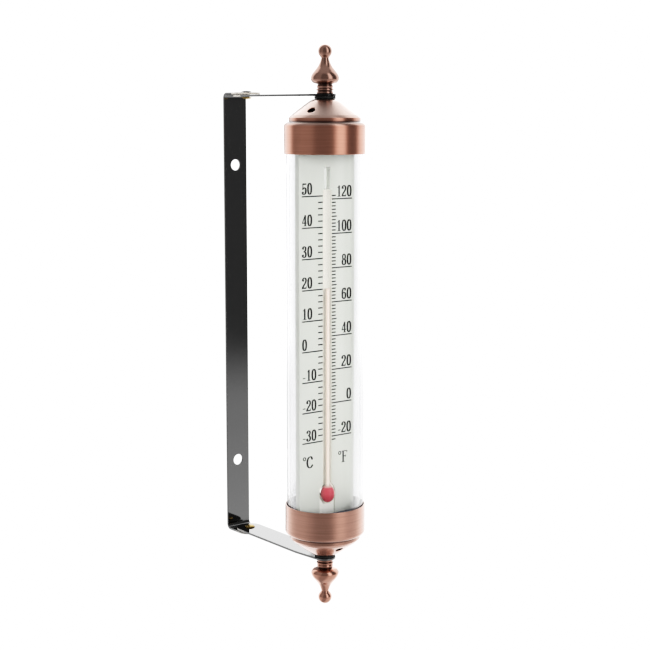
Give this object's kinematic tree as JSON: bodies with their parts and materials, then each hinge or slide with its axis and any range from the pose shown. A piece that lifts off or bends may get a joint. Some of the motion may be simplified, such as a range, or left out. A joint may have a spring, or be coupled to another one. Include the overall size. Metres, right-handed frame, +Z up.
{
  "type": "tube thermometer",
  "caption": "Outdoor tube thermometer with copper caps and turned finials, held between flat arms that swing on a black strip wall bracket.",
  "frame": {"origin": "centre of the wall plate's back face, on the wall", "axes": "+Z up along the tube, +Y into the wall, so the thermometer stands out along -Y"},
  "size_m": [0.0384, 0.0936, 0.2674],
  "materials": {
    "black_paint": "gloss black paint on steel strip",
    "copper": "brushed antique copper",
    "rivet_metal": "darkened brass",
    "black_rubber": "matt",
    "steel": "bright zinc",
    "tube_clear": "clear and polished",
    "plug_plastic": "moulded, dark",
    "scale_white": "translucent white, satin",
    "stem_glass": "clear",
    "spirit_red": "red liquid"
  },
  "bodies": {
    "bracket": {"wall_bracket": "black_paint", "upper_rivet": "rivet_metal", "lower_rivet": "rivet_metal"},
    "upper_swing_arm": {"upper_arm": "black_paint"},
    "lower_swing_arm": {"lower_arm": "black_paint"},
    "thermometer": {"clear_tube": "tube_clear", "scale_plate": "scale_white", "glass_stem": "stem_glass", "spirit_fill": "spirit_red", "upper_cap": "copper", "upper_finial": "copper", "upper_washer": "black_rubber", "upper_screw": "steel", "upper_seal": "black_rubber", "upper_plug": "plug_plastic", "lower_cap": "copper", "lower_finial": "copper", "lower_washer": "black_rubber", "lower_screw": "steel", "lower_seal": "black_rubber", "lower_plug": "plug_plastic"}
  },
  "joints": [
    {"name": "upper_arm_swing", "type": "hinge", "parent": "bracket", "child": "upper_swing_arm", "pos_m": [0, -0.011, 0.1105], "axis": [0, 0, 1], "range_deg": [-75, 75]},
    {"name": "lower_arm_swing", "type": "hinge", "parent": "bracket", "child": "lower_swing_arm", "pos_m": [0, -0.011, -0.1105], "axis": [0, 0, 1], "range_deg": [-75, 75]},
    {"name": "tube_turn", "type": "hinge", "parent": "upper_swing_arm", "child": "thermometer", "pos_m": [0, -0.0745, 0], "axis": [0, 0, 1], "continuous": true}
  ],
  "couplings": [
    {"joint": "lower_arm_swing", "follows": "upper_arm_swing", "ratio": 1}
  ]
}
